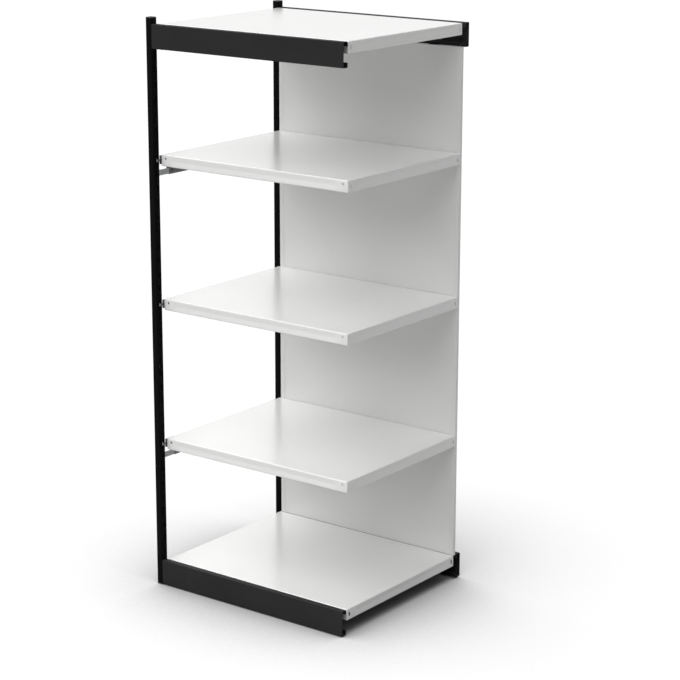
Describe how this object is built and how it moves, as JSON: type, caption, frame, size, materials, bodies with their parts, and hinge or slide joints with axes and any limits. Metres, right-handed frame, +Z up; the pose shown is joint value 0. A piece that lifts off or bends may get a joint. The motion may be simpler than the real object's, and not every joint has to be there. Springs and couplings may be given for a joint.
{
  "type": "steel shelving unit",
  "caption": "Add-on bay of steel shelving: slotted ladder frame at the left, channel rails front and rear, lift-out folded shelves and a sheet back, open at the right.",
  "frame": {"origin": "centre of the bay's footprint, on the floor", "axes": "+X along the shelves from the frame to the open end, +Y from the front to the back, +Z up"},
  "size_m": [0.82, 0.7, 2],
  "materials": {
    "frame_black": "black powder coat, satin",
    "cap_plastic": "black, fine-grained",
    "shelf_white": "white powder coat, satin",
    "back_white": "white powder coat, satin",
    "zinc_steel": "zinc plate",
    "dark_steel": "dark passivated zinc plate"
  },
  "bodies": {
    "bay_frame": {"front_post": "frame_black", "rear_post": "frame_black", "front_top_rail": "frame_black", "rear_top_rail": "frame_black", "front_bottom_rail": "frame_black", "rear_bottom_rail": "frame_black", "top_rung": "dark_steel", "upper_rung": "dark_steel", "lower_rung": "dark_steel", "bottom_rung": "dark_steel", "rung_bolts": "dark_steel", "upper_clips": "dark_steel", "middle_clips": "dark_steel", "lower_clips": "dark_steel", "front_cap": "cap_plastic", "rear_cap": "cap_plastic", "front_foot": "cap_plastic", "rear_foot": "cap_plastic", "top_shelf": "shelf_white", "bottom_shelf": "shelf_white", "top_stiffener": "shelf_white", "bottom_stiffener": "shelf_white", "top_back": "back_white", "upper_back": "back_white", "lower_back": "back_white", "bottom_back": "back_white", "rung_brackets": "zinc_steel", "top_rail_shoes": "zinc_steel", "bottom_rail_shoes": "zinc_steel", "shoe_bolts": "zinc_steel", "rail_screws": "zinc_steel", "top_rest_brackets": "zinc_steel", "bottom_rest_brackets": "zinc_steel", "back_side_brackets": "zinc_steel", "back_strips": "zinc_steel", "strip_screws": "zinc_steel", "seam_screws": "zinc_steel"},
    "upper_tray": {"upper_shelf": "shelf_white", "upper_stiffener": "shelf_white"},
    "middle_tray": {"middle_shelf": "shelf_white", "middle_stiffener": "shelf_white"},
    "lower_tray": {"lower_shelf": "shelf_white", "lower_stiffener": "shelf_white"}
  },
  "joints": [
    {"name": "upper_shelf_lift", "type": "slide", "parent": "bay_frame", "child": "upper_tray", "axis": [0, 0, 1], "range_m": [0, 0.04]},
    {"name": "middle_shelf_lift", "type": "slide", "parent": "bay_frame", "child": "middle_tray", "axis": [0, 0, 1], "range_m": [0, 0.04]},
    {"name": "lower_shelf_lift", "type": "slide", "parent": "bay_frame", "child": "lower_tray", "axis": [0, 0, 1], "range_m": [0, 0.04]}
  ]
}
